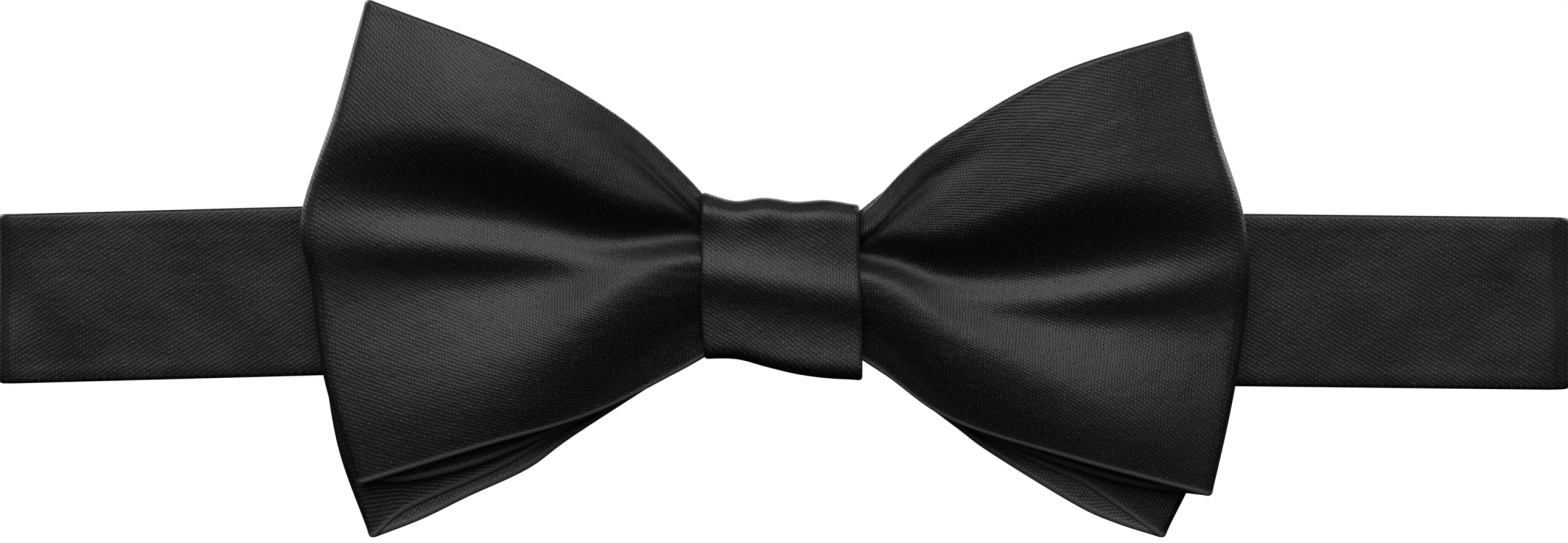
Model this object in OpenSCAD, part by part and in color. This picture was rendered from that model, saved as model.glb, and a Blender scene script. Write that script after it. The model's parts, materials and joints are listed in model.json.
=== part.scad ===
// Pre-tied satin bow tie on an adjustable neckband, drawn as it lies folded flat: the bow and the front
// of the neckband in front, the two ends of the neckband folded back behind them with their clasp
// undone. +X is to the wearer's left, +Y is towards the neck, +Z is up. The origin is the middle of the
// knot's back face, where it sits on the shirt collar. All sizes are in millimetres.

/* [Bow] */
// Reach of the front left wing from the middle of the knot
left_reach = 61; // [50:0.5:72]
// Reach of the front right wing from the middle of the knot
right_reach = 59.5; // [50:0.5:72]
// Height of the front left wing's top tip
left_top = 36; // [28:0.5:44]
// Height of the front right wing's top tip
right_top = 32; // [26:0.5:40]
// Depth of the front wings' bottom tips below the middle
front_bottom = 26.5; // [20:0.5:34]
// Reach of the rear left wing
rear_left_reach = 58.6; // [48:0.5:70]
// Reach of the rear right wing
rear_right_reach = 55.5; // [46:0.5:68]
// Height of the rear wings' top tips
rear_top = 27; // [20:0.5:32]
// Depth of the rear wings' bottom tips below the middle
rear_bottom = 32.6; // [26:0.5:38]
// How far the tips stand back from the reach of their wing
tip_back = 7.5; // [3:0.5:11]
// How far the front wings puff forward
puff = 8; // [4:0.5:11]

/* [Knot] */
// Width of the knot across the bow
knot_w = 20; // [14:0.5:26]
// Height of the knot
knot_h = 21.8; // [18:0.2:27]

/* [Neckband] */
// Width of the folded neckband from fold to fold
loop_w = 199.4; // [180:0.2:240]
// Width of the band's satin strip
band_w = 21.5; // [16:0.5:25]
// How far the band's folds hang below the middle of the knot
end_drop = 2.3; // [0:0.1:4]
// How far each folded end opens from the front of the band, in degrees
tail_tilt = 7; // [5:0.5:9]
// Travel of the adjuster towards the fold
slider_travel = 40; // [20:1:50]
// Room left between the adjuster and the strap's taper at the end of its travel
slider_room = 3.5; // [1:0.5:8]

/* [Cloth] */
// Thickness of the neckband: satin, interlining, satin
band_t = 0.9; // [0.8:0.05:1.2]
// Thickness of the bow's strips: satin, interlining, satin
bow_t = 1; // [0.8:0.05:1.1]
// Thickness of one layer of satin
satin_t = 0.25; // [0.2:0.05:0.3]
// Width of the narrower strap at the band's ends
strap_w = 16; // [12:0.5:19.5]

/* [Clasp] */
// Thickness of the metal plates
plate_t = 1.1; // [0.8:0.1:1.4]
// Width of the plates' rails
rail_w = 1.4; // [1.1:0.1:2]
// Length of the eye's window for the hook
eye_window = 5.2; // [4.6:0.1:7]
// Width of the hook's tongue
tongue_w = 8; // [5:0.5:10]

/* [Hidden] */
$fn = 48;

satin_black = [0.045, 0.045, 0.048];
canvas_grey = [0.2, 0.2, 0.2];
thread_black = [0.06, 0.06, 0.06];
label_black = [0.09, 0.09, 0.09];
metal_black = [0.12, 0.12, 0.13];

fit = 0.05;        // gap between cloth and what lies against it
layer_gap = 0.1;   // gap between layers stacked in the knot
thread_t = 0.5;    // thickness of the sewing thread

// The knot's stack, from its back face forwards (towards -Y). Each value is the layer's rear face.
wrap_t = 0.4;
band_back = -2 * wrap_t - layer_gap;
rear_loop_back = band_back - band_t - thread_t - 2 * layer_gap;
rear_loop_front = rear_loop_back - 2 * bow_t - 2 * layer_gap;
front_loop_back = rear_loop_front - 2 * layer_gap;
front_loop_front = front_loop_back - 2 * bow_t - 2 * layer_gap;
ridge = 3.4;       // how far the pleats at the knot stand forward
knot_front = front_loop_front - ridge - thread_t - 2 * layer_gap - 2 * wrap_t;
waist_x = knot_w / 2 + 0.2;
waist_h = knot_h / 2 - 2 * wrap_t - thread_t - 3 * layer_gap;

// ---- The bow's strips: closed loops of ribbon that flare from the waist to their outer folds ----
front_fold_r = 1.6;
rear_fold_r = 1.3;
wing_steps = 6;      // sections along each wing
across_steps = 8;    // steps across the ribbon, an even number
top_power = 0.62;    // how fast the top edges flare away from the knot
bottom_power = 0.8;  // and the bottom edges
side_power = 1.4;    // how the outer fold runs back to its tips
crown = 0.52;        // where the outer fold reaches furthest, as a share of its height
valley_at = 0.58;    // where the pleat's valley runs, as a share of the height
valley_w = 0.13;     // its width
valley_depth = 0.7;  // and the share of the puff that it takes away
puff_power = 0.8;    // how near the knot the puff is fullest

// A loop is [left reach, right reach, left top, right top, bottom, rear face y, front face y, fold
// radius, puff, ridge, y of the outer fold's centre]
front_loop = [left_reach, right_reach, left_top, right_top, front_bottom, front_loop_back, front_loop_front,
    front_fold_r, puff, ridge, front_loop_back - 2 * layer_gap - front_fold_r];
rear_loop = [rear_left_reach, rear_right_reach, rear_top, rear_top, rear_bottom, rear_loop_back,
    rear_loop_front,
    rear_fold_r, 0, 0, rear_loop_front + rear_fold_r];

function reach(loop, side) = side < 0 ? loop[0] : loop[1];
function top(loop, side) = side < 0 ? loop[2] : loop[3];
function fold_y(loop) = loop[10];
function flare(at_knot, at_tip, u, power) = at_knot + (at_tip - at_knot) * pow(u, power);
function outer_x(loop, side, w) = reach(loop, side) - loop[7]
    - tip_back * pow(abs(w - crown) * 2, side_power);
function valley(w) = exp(-pow((w - valley_at) / valley_w, 2));
function crest(loop, u, w) = (loop[9] * (1 - u) + loop[8] * sin(180 * pow(u, puff_power))) * sin(180 * w)
    * (1 - valley_depth * valley(w));

// A section is [side, u, face, turn]: u runs from the waist to the fold, face is -1 in front and 1
// behind, and turn is the angle round the outer fold.
function face_y(loop, u, w, face) = face < 0
    ? loop[6] + (fold_y(loop) - loop[7] - loop[6]) * u - crest(loop, u, w)
    : loop[5] + (fold_y(loop) + loop[7] - loop[5]) * u;
function point(loop, s, w) = let (
        side = s[0],
        u = s[1],
        z_top = flare(waist_h, top(loop, side), u, top_power),
        z_bottom = -flare(waist_h, loop[4], u, bottom_power),
        x = side == 0 ? 0 : side * (waist_x + (outer_x(loop, side, w) - waist_x) * u + loop[7] * sin(s[3])),
        y = s[3] == 0 ? face_y(loop, u, w, s[2]) : fold_y(loop) - loop[7] * cos(s[3]))
    [x, y, z_bottom + (z_top - z_bottom) * w];

turns = [45, 90, 135];
sections = concat(
    [for (i = [wing_steps:-1:0]) [-1, i / wing_steps, -1, 0]], [[0, 0, -1, 0]],
    [for (i = [0:wing_steps]) [1, i / wing_steps, -1, 0]], [for (a = turns) [1, 1, 0, a]],
    [for (i = [wing_steps:-1:0]) [1, i / wing_steps, 1, 0]], [[0, 0, 1, 0]],
    [for (i = [0:wing_steps]) [-1, i / wing_steps, 1, 0]],
    [for (i = [len(turns) - 1:-1:0]) [-1, 1, 0, turns[i]]]);
count = len(sections);
probe = 0.04;        // half the step over which a surface's slope is measured

function surface_point(loop, i, w) = point(loop, sections[(i + count) % count], w);
function inward(loop, i, w) = let (
        along = surface_point(loop, i + 1, w) - surface_point(loop, i - 1, w),
        across = surface_point(loop, i, min(1, w + probe)) - surface_point(loop, i, max(0, w - probe)),
        n = cross(across, along))
    n / norm(n);
function at_depth(loop, i, w, depth) = surface_point(loop, i, w) + inward(loop, i, w) * depth;

// Sweeps a profile of [share of height, depth] pairs round the loop.
module ribbon(loop, profile) {
    n = len(profile);
    points = [for (i = [0:count - 1]) for (p = profile) at_depth(loop, i, p[0], p[1])];
    // Every layer is cut along the same diagonals, so that layers a small gap apart don't cross.
    faces = [for (i = [0:count - 1]) for (j = [0:n - 1]) let (
            a = i * n + j,
            b = i * n + (j + 1) % n,
            c = ((i + 1) % count) * n + (j + 1) % n,
            d = ((i + 1) % count) * n + j,
            rising = profile[(j + 1) % n][0] >= profile[j][0])
        each rising ? [[a, b, c], [a, c, d]] : [[a, b, d], [b, c, d]]];
    polyhedron(points, faces);
}

hem = 0.03;     // share of the ribbon's height that its satin takes at each edge
seam = 0.02;    // half the gap between the satin's two edges where they meet inside the ribbon
lining_hem = 1.5 * hem;   // the interlining stops short of the satin's folded edges

// Every layer has its points at the same shares of the height, so that layers a small gap apart don't
// cross.
half_up = concat([0, hem, lining_hem], [for (k = [1:across_steps / 2 - 1]) k / across_steps], [0.5 - seam]);
stations = concat(half_up, [for (k = [len(half_up) - 1:-1:0]) 1 - half_up[k]]);
least = 0.001;   // tolerance when a share is compared
function up(from, to) = [for (w = stations) if (w > from - least && w < to + least) w];
function down(from, to) = let (list = up(to, from)) [for (k = [len(list) - 1:-1:0]) list[k]];

// Satin goes round the interlining and its two edges meet at the middle of the inner face.
module bow_satin(loop) {
    inner = bow_t - satin_t;
    ribbon(loop, concat(
        [for (w = up(0, 1)) [w, 0]],
        [for (w = down(1, 0.5 + seam)) [w, bow_t]],
        [for (w = up(0.5 + seam, 1 - hem)) [w, inner]],
        [for (w = down(1 - hem, hem)) [w, satin_t]],
        [for (w = up(hem, 0.5 - seam)) [w, inner]],
        [for (w = down(0.5 - seam, 0)) [w, bow_t]]));
}

module bow_interlining(loop) {
    ribbon(loop, concat(
        [for (w = up(lining_hem, 1 - lining_hem)) [w, satin_t + fit]],
        [for (w = down(1 - lining_hem, lining_hem)) [w, bow_t - satin_t - fit]]));
}

module front_bow_satin() {
    color(satin_black) bow_satin(front_loop);
}

module front_bow_interlining() {
    color(canvas_grey) bow_interlining(front_loop);
}

module rear_bow_satin() {
    color(satin_black) bow_satin(rear_loop);
}

module rear_bow_interlining() {
    color(canvas_grey) bow_interlining(rear_loop);
}

// ---- Flat shapes ----
// A rectangle of size [w, h] about the middle, with round corners.
module rounded(size, r) {
    square([size[0] - 2 * r, size[1]], center = true);
    square([size[0], size[1] - 2 * r], center = true);
    for (x = [-1, 1], y = [-1, 1]) translate([x * (size[0] / 2 - r), y * (size[1] / 2 - r)]) circle(r);
}

// A flat bar from x0 to x1 and from y0 to y1, h high about the middle.
module slab(x0, x1, y0, y1, h) {
    translate([x0, y0, -h / 2]) cube([x1 - x0, y1 - y0, h]);
}

// Extrudes a shape drawn in X and Y, h high about the middle.
module upright(h) {
    translate([0, 0, -h / 2]) linear_extrude(h) children();
}

// Extrudes a shape drawn in X and Z, from y_back forwards by t.
module standing(y_back, t) {
    translate([0, y_back, 0]) rotate([90, 0, 0]) linear_extrude(t) children();
}

// A band of thread round the waist or the knot: the ring between two rounded rectangles in Y and Z.
module knot_ring(y_back, y_front, h, t, w, r) {
    d = y_back - y_front;
    translate([-w / 2, (y_back + y_front) / 2, 0]) rotate([90, 0, 90]) linear_extrude(w) difference() {
        rounded([d, h], r);
        rounded([d - 2 * t, h - 2 * t], r - t);
    }
}

// ---- Stitches: short straight threads on a face ----
stitch_d = 0.3;
stitch_share = 0.6;   // share of its pitch that a stitch covers
stitch_inset = 1.2;   // from a row of stitches to the edges of what it holds

module stitch_row(x0, x1, y, z, count) {
    step = (x1 - x0) / count;
    for (i = [0:count - 1])
        translate([x0 + (i + (1 - stitch_share) / 2) * step, y, z])
            rotate([0, 90, 0]) cylinder(d = stitch_d, h = stitch_share * step);
}
module stitch_column(x, y, h, count) {
    step = h / count;
    for (i = [0:count - 1])
        translate([x, y, (i + (1 - stitch_share) / 2) * step - h / 2])
            cylinder(d = stitch_d, h = stitch_share * step);
}

// ---- Knot ----
knot_r = 1.6;              // radius of the knot's corners
turn_count = 4;            // turns of thread round the waist
turn_pitch = knot_w / 8;
lining_short = 0.75;       // how far the knot's interlining stays inside each side
knot_stitch_count = 9;

module knot_wrap() {
    color(satin_black) knot_ring(0, knot_front, knot_h, wrap_t, knot_w, knot_r);
}

module knot_interlining() {
    color(canvas_grey)
        knot_ring(-wrap_t, knot_front + wrap_t, knot_h - 2 * wrap_t, wrap_t, knot_w - 2 * lining_short,
            knot_r - wrap_t);
}

module gather_thread() {
    around_back = rear_loop_back + layer_gap + thread_t;
    around_front = front_loop_front - ridge - layer_gap - thread_t;
    color(thread_black) for (i = [0:turn_count - 1])
        translate([(i - (turn_count - 1) / 2) * turn_pitch, 0, 0])
        knot_ring(around_back, around_front, knot_h - 4 * wrap_t - 2 * layer_gap, thread_t, thread_t,
            knot_r - 2 * wrap_t);
}

module knot_stitches() {
    from_corner = (knot_r + stitch_d / 2) * cos(45);
    color(thread_black)
        stitch_row(stitch_inset - knot_w / 2, knot_w / 2 - stitch_inset, from_corner - knot_r,
            knot_r - knot_h / 2 - from_corner, knot_stitch_count);
}

// ---- Neckband ----
fold_in = 1;                                  // inner radius of the band's folds
fold_x = loop_w / 2 - fold_in - band_t;       // centres of the folds
fold_cy = band_back + fold_in;
gathered_h = 2 * waist_h;                     // height of the band where the knot holds it
gather_run = 9;                               // length over which it opens out again
lining_h = band_w - 2 * satin_t;
taper = 12;                                   // length over which each end narrows to its strap

// The band's front, from fold to fold, with its edges moved in by inset.
module band_front(inset) {
    x1 = knot_w / 2;
    x2 = x1 + gather_run;
    z2 = -end_drop * x2 / fold_x;
    h1 = gathered_h / 2 - inset;
    h2 = band_w / 2 - inset;
    polygon([[-fold_x, -end_drop + h2], [-x2, z2 + h2], [-x1, h1],
        [x1, h1], [x2, z2 + h2], [fold_x, -end_drop + h2],
        [fold_x, -end_drop - h2], [x2, z2 - h2], [x1, -h1],
        [-x1, -h1], [-x2, z2 - h2], [-fold_x, -end_drop - h2]]);
}

module front_band_satin() {
    color(satin_black) difference() {
        standing(band_back, band_t) band_front(0);
        standing(band_back - satin_t, band_t - 2 * satin_t) band_front(satin_t);
    }
}

module front_band_interlining() {
    color(canvas_grey)
        standing(band_back - satin_t - fit, band_t - 2 * satin_t - 2 * fit) band_front(satin_t + fit);
}

// Each end of the band is drawn with X along it from its fold, Y outwards and Z up, and is then placed.
module left_end() {
    translate([-fold_x, fold_cy, 0]) rotate([0, 0, tail_tilt]) children();
}
module right_end() {
    mirror([1, 0, 0]) left_end() children();
}

band_in = fold_in;             // inner face of an end of the band
band_out = fold_in + band_t;   // its outer face

module fold_ring(r0, r1, h) {
    translate([0, 0, -end_drop]) rotate([0, 0, 90]) rotate_extrude(angle = 180 - tail_tilt)
        translate([r0, -h / 2]) square([r1 - r0, h]);
}
module fold_satin() {
    color(satin_black) difference() {
        fold_ring(band_in, band_out, band_w);
        fold_ring(band_in + satin_t, band_out - satin_t, lining_h);
    }
}
module fold_interlining() {
    color(canvas_grey) fold_ring(band_in + satin_t + fit, band_out - satin_t - fit, lining_h - 2 * fit);
}

// An end's outline up to x1, with its edges moved in by inset.
module end_outline(x1, inset) {
    wide = band_w / 2 - inset;
    narrow = strap_w / 2 - inset;
    polygon([[0, wide - end_drop], [taper, narrow], [x1, narrow], [x1, -narrow], [taper, -narrow],
        [0, -wide - end_drop]]);
}
module end_satin(x1) {
    color(satin_black) difference() {
        standing(band_out, band_t) end_outline(x1, 0);
        standing(band_out - satin_t, band_t - 2 * satin_t) end_outline(x1, satin_t);
    }
}
module end_interlining(x1) {
    color(canvas_grey)
        standing(band_out - satin_t - fit, band_t - 2 * satin_t - 2 * fit) end_outline(x1, satin_t + fit);
}

module left_fold_satin() { left_end() fold_satin(); }
module left_fold_interlining() { left_end() fold_interlining(); }
module right_fold_satin() { right_end() fold_satin(); }
module right_fold_interlining() { right_end() fold_interlining(); }

// ---- Clasp ----
bar_r = 0.6;                    // radius of the bars that the band turns round
bar_lap = 1;                    // how far a bar runs into the rails that hold it
behind_bar = 0.4;               // how far a plate reaches behind its bar
turn_in = bar_r + 0.15;         // inner radius of the band's turn round a bar
clasp_gap = 0.4;                // gap between the band and the rails round it
window_h = strap_w + 2 * clasp_gap;
plate_h = window_h + 2 * rail_w;
plate_r = 2;                    // radius of the corners of the eye and the hook
cut = 1;                        // how far a cut runs past what it cuts
run = 0.3;                      // running clearance between the adjuster and the band
apart = 2.5;                    // gap between hook and eye while the clasp is undone
hem_len = 9;
hem_slope = 3;                  // length over which a hem comes back against its strap
hem_stitch_count = 8;
lap = 0.2;                      // how far the straight part of a hem runs into its turn

// Half a turn of the strap round a bar at the origin, on its +X side.
module half_turn(r0, r1, h) {
    upright(h) difference() {
        circle(r1);
        circle(r0);
        translate([-2 * r1, -2 * r1]) square([2 * r1, 4 * r1]);
    }
}

// The turned end of the strap: half a turn of inner radius r0 round the bar, then back against the strap.
module hem(r0) {
    r1 = r0 + band_t;
    half_turn(r0, r1, strap_w);
    upright(strap_w) polygon([[lap, -r0 - lap], [lap, -r1 + lap], [-hem_slope, r0 - band_t - fit],
        [-hem_len, r0 - band_t - fit], [-hem_len, r0 - fit], [-hem_slope, r0 - fit]]);
}

// Two columns of stitches through a hem whose bar is at x.
module hem_stitches(x, side, y) {
    for (at = [x + side * (hem_len - stitch_inset), x + side * (hem_slope + stitch_inset)])
        stitch_column(at, y, strap_w - 2 * stitch_inset, hem_stitch_count);
}

// The eye and the hook are plates with their bar at the origin and the clasp ahead of it, along X.
module clasp_plate(x1) {
    x0 = -bar_r - behind_bar;
    translate([(x0 + x1) / 2, plate_t / 2, 0]) rotate([90, 0, 0])
        linear_extrude(plate_t) rounded([x1 - x0, plate_h], plate_r);
}
module strap_window(x1) {
    slab(-bar_r - behind_bar - cut, x1, -plate_t, plate_t, window_h);
}
module clasp_bar() {
    cylinder(r = bar_r, h = window_h + 2 * bar_lap, center = true);
}

eye_turn_out = turn_in + band_t;
eye_rail = eye_turn_out + clasp_gap;        // near edge of the rail between the eye's two windows
eye_len = eye_rail + rail_w + eye_window + rail_w;
eye_window_h = window_h - 2;
turn_mid_y = band_in - turn_in;             // middle of the eye's bar, in the end's own frame

// The adjuster's bar and the strand that is sewn round it lie inside the strand that it slides on.
frame_half = 6.5;                           // half the adjuster's length
frame_r = 1.5;                              // radius of its corners
cheek = 1.4;                                // half the size of the cheeks that hold its bar
slider_at = taper + slider_room + frame_half + slider_travel;
bar_y = band_in - run - band_t - turn_in;
return_out = bar_y - turn_in;               // outer face of the return strand
hook_turn_in = (band_in - return_out) / 2;
hook_bar_y = band_in - hook_turn_in;
strand = 14;                                // length of the strands between adjuster and hook
turn_at = slider_at + strand;
feed_spare = 4;                             // length of the feeding strand that is left at full travel
fixed_len = turn_at - slider_travel / 2 - feed_spare;
hook_turn_out = hook_turn_in + band_t;
hook_rail = hook_turn_out + clasp_gap;      // near edge of the hook's nose
nose_len = 2.6;
tongue_lap = 0.6;                           // how far the tongue starts inside the nose
tongue_len = 7;
tongue_back = 5.5;                          // length of the tongue's return
tongue_in = 0.9;                            // inner radius of the tongue's bend
hook_len = hook_rail + nose_len + tongue_len + tongue_in + plate_t;
eye_at = 2 * fold_x / cos(tail_tilt) - turn_at - hook_len - apart - eye_len;

module left_band_satin() { left_end() end_satin(eye_at); }
module left_band_interlining() { left_end() end_interlining(eye_at); }

module eye_hem() {
    color(satin_black) left_end() translate([eye_at, turn_mid_y, 0]) hem(turn_in);
}

module eye_hem_stitches() {
    color(thread_black) left_end() hem_stitches(eye_at, -1, band_out + stitch_d / 2);
}

module eye() {
    color(metal_black) left_end() translate([eye_at, turn_mid_y, 0]) {
        difference() {
            clasp_plate(eye_len);
            strap_window(eye_rail);
            slab(eye_rail + rail_w, eye_len - rail_w, -plate_t, plate_t, eye_window_h);
        }
        clasp_bar();
    }
}

label_len = 24;
label_h = 13;
label_t = 0.25;
label_gap = 15;             // from the label to the eye's hem
label_at = eye_at - hem_len - label_gap - label_len;
label_inset = 0.8;          // from the label's stitches to its edges
label_stitch_count = 6;

module care_label() {
    color(label_black) left_end()
        slab(label_at, label_at + label_len, band_in - fit - label_t, band_in - fit, label_h);
}

module care_label_stitches() {
    color(thread_black) left_end() for (x = [label_at + label_inset, label_at + label_len - label_inset])
        stitch_column(x, band_in - fit - label_t - stitch_d / 2, label_h - 2 * label_inset,
            label_stitch_count);
}

module right_band_satin() { right_end() end_satin(fixed_len); }
module right_band_interlining() { right_end() end_interlining(fixed_len); }
module feed_band() {
    color(satin_black) right_end() slab(fixed_len, turn_at, band_in, band_out, strap_w);
}

module slider_frame() {
    y0 = band_out + run;
    color(metal_black) right_end() translate([slider_at, 0, 0]) difference() {
        union() {
            difference() {
                translate([0, y0 + plate_t, 0]) rotate([90, 0, 0]) linear_extrude(plate_t)
                    rounded([2 * frame_half, plate_h], frame_r);
                slab(-frame_half + rail_w, frame_half - rail_w, y0 - cut, y0 + plate_t + cut, window_h);
            }
            for (side = [-1, 1]) translate([0, 0, side * (window_h + rail_w) / 2])
                slab(-cheek, cheek, bar_y - cheek, y0 + lap, rail_w);
        }
        translate([0, bar_y, 0]) cylinder(r = bar_r + fit, h = plate_h + 2 * cut, center = true);
    }
}

module slider_bar() {
    color(metal_black) right_end() translate([slider_at, bar_y, 0])
        cylinder(r = bar_r, h = plate_h, center = true);
}

module slider_hem() {
    color(satin_black) right_end() translate([slider_at, bar_y, 0]) rotate([0, 0, 180]) hem(turn_in);
}

module slider_hem_stitches() {
    color(thread_black) right_end() hem_stitches(slider_at, 1, return_out - band_t - stitch_d / 2);
}

module return_band() {
    color(satin_black) right_end() slab(slider_at, turn_at, return_out - band_t, return_out, strap_w);
}

module hook_turn() {
    color(satin_black) right_end() translate([turn_at, hook_bar_y, 0])
        half_turn(hook_turn_in, hook_turn_out, strap_w);
}

module hook() {
    bend_at = hook_rail + nose_len + tongue_len;
    color(metal_black) right_end() translate([turn_at, hook_bar_y, 0]) {
        difference() {
            clasp_plate(hook_rail + nose_len);
            strap_window(hook_rail);
        }
        clasp_bar();
        slab(hook_rail + nose_len - tongue_lap, bend_at, -plate_t / 2, plate_t / 2, tongue_w);
        translate([bend_at, -plate_t / 2 - tongue_in, 0])
            half_turn(tongue_in, tongue_in + plate_t, tongue_w);
        translate([0, -plate_t - 2 * tongue_in, 0])
            slab(bend_at - tongue_back, bend_at, -plate_t / 2, plate_t / 2, tongue_w);
    }
}

front_bow_satin();
front_bow_interlining();
rear_bow_satin();
rear_bow_interlining();
gather_thread();
knot_wrap();
knot_interlining();
knot_stitches();
front_band_satin();
front_band_interlining();
left_fold_satin();
left_fold_interlining();
left_band_satin();
left_band_interlining();
eye_hem();
eye_hem_stitches();
eye();
care_label();
care_label_stitches();
right_fold_satin();
right_fold_interlining();
right_band_satin();
right_band_interlining();
feed_band();
slider_frame();
slider_bar();
return_band();
slider_hem();
slider_hem_stitches();
hook_turn();
hook();
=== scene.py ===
import bpy
import bmesh
import json
import math
import numpy as np
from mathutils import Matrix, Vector


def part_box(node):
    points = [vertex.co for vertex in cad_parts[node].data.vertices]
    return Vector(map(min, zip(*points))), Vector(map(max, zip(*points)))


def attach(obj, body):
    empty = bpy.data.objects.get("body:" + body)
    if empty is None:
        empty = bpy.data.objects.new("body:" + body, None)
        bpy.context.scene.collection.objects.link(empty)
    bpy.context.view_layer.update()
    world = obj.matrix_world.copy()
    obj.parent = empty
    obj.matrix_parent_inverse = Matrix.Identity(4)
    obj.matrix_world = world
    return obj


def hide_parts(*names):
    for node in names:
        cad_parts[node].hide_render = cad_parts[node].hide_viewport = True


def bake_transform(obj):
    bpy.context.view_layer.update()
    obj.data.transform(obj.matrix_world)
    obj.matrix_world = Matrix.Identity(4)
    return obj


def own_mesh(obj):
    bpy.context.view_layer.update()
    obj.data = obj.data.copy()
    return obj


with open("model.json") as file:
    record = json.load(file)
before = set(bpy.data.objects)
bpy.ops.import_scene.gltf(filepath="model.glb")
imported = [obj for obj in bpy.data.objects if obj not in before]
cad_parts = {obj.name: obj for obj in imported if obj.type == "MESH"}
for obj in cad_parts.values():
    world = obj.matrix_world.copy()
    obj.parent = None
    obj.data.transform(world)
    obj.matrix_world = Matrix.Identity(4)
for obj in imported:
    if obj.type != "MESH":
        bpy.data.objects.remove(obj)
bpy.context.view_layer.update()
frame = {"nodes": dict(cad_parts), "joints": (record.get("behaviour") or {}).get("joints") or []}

MM = 0.001


# ---- Places taken from the frame ----
def joint(name):
    return next(j for j in frame["joints"] if j["name"] == name)


def joint_point(name):
    return Vector(joint(name)["pos_m"])


left_hinge = joint_point("left_end_swing")
right_hinge = joint_point("right_end_swing")
eye_bar = joint_point("eye_pivot")
hook_bar = joint_point("hook_pivot")
band_low, band_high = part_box("front_band_satin")
fold_low, fold_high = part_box("left_fold_satin")
strap_low, strap_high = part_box("feed_band")

BAND_T = band_high.y - band_low.y
BAND_MID_Y = (band_high.y + band_low.y) / 2
FOLD_R = left_hinge.y - BAND_MID_Y          # radius of the folds at the middle of the cloth
BAND_H = fold_high.z - fold_low.z
BAND_Z = (fold_high.z + fold_low.z) / 2
STRAP_H = strap_high.z - strap_low.z
slide_axis = Vector(joint("adjuster_slide")["axis"])
TILT = math.atan2(-slide_axis.y, slide_axis.x)     # angle between the band's front and its folded ends
LEFT_ALONG = Vector((math.cos(TILT), math.sin(TILT), 0))
LEFT_OUT = Vector((-math.sin(TILT), math.cos(TILT), 0))
RIGHT_ALONG = Vector((-math.cos(TILT), math.sin(TILT), 0))
RIGHT_OUT = Vector((math.sin(TILT), math.cos(TILT), 0))
slider_bar_low, slider_bar_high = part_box("slider_bar")
slider_mid = (slider_bar_low + slider_bar_high) / 2


# ---- Curves and grids ----
CURVE_STEPS = 400     # points at which a curve's length is measured


def spline(points, t):
    """A Catmull-Rom curve through the points, at each t from 0 to 1."""
    p = np.asarray(points, float)
    p = np.vstack([2 * p[0] - p[1], p, 2 * p[-1] - p[-2]])
    n = len(p) - 3
    t = np.clip(np.atleast_1d(t), 0, 1) * n
    i = np.minimum(t.astype(int), n - 1)
    f = (t - i)[:, None]
    a, b, c, d = p[i], p[i + 1], p[i + 2], p[i + 3]
    return 0.5 * (2 * b + (c - a) * f + (2 * a - 5 * b + 4 * c - d) * f**2 + (3 * b - a - 3 * c + d) * f**3)


def placed(points, share):
    """The same curve's points at those shares of its length."""
    fine = spline(points, np.linspace(0, 1, CURVE_STEPS))
    run = np.concatenate([[0], np.cumsum(np.linalg.norm(np.diff(fine, axis=0), axis=1))])
    return np.column_stack([np.interp(share * run[-1], run, fine[:, k]) for k in range(fine.shape[1])])


def even(points, count):
    """The same curve, at count points an equal length apart."""
    return placed(points, np.linspace(0, 1, count))


def coons(bottom, top, inner, outer, share):
    """Fills the four edge curves with a smooth grid. bottom and top run outwards, inner and outer run
    upwards, with their points at those shares of the height."""
    u = np.linspace(0, 1, len(bottom))[:, None, None]
    w = share[None, :, None]
    across = (1 - w) * bottom[:, None, :] + w * top[:, None, :]
    along = (1 - u) * inner[None, :, :] + u * outer[None, :, :]
    corners = ((1 - u) * (1 - w) * bottom[0] + (1 - u) * w * top[0]
               + u * (1 - w) * bottom[-1] + u * w * top[-1])
    return across + along - corners


def between(u, stops):
    """A smooth value at each u from 0 to 1, from its values at even steps."""
    return spline([(v,) for v in stops], u.ravel())[:, 0].reshape(u.shape)


def hill(x, middle, width):
    return np.exp(-(((x - middle) / width) ** 2))


def smooth(x):
    x = np.clip(x, 0, 1)
    return x * x * (3 - 2 * x)


# ---- Meshes ----
def add_object(name, data):
    item = bpy.data.objects.new(name, data)
    bpy.context.scene.collection.objects.link(item)
    return item


def make_object(name, verts, faces, weave=None):
    mesh = bpy.data.meshes.new(name)
    mesh.from_pydata([tuple(v) for v in verts], [], faces)
    mesh.validate()
    if weave is not None:
        attribute = mesh.attributes.new("weave", "FLOAT_VECTOR", "POINT")
        attribute.data.foreach_set("vector", np.asarray(weave, np.float32).ravel())
    bm = bmesh.new()
    bm.from_mesh(mesh)
    bmesh.ops.recalc_face_normals(bm, faces=bm.faces)
    bm.to_mesh(mesh)
    bm.free()
    mesh.shade_smooth()
    return add_object(name, mesh)


EDGE_STEPS = 6           # steps round a folded edge
EDGE_ROLL = 0.6 * MM     # how far a folded edge's roll reaches in
EDGE_LINE = 0.22 * MM    # how far its painted highlight line reaches in
NEAR_EDGE = (0.0016, 0.0035, 0.0065, 0.0105)     # shares of the width where extra points lie


def across_shares(count):
    """Even shares from 0 to 1 across a ribbon, with closer ones beside both of its edges."""
    near = np.array(NEAR_EDGE)
    return np.sort(np.concatenate([np.linspace(0, 1, count), near, 1 - near]))


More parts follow.
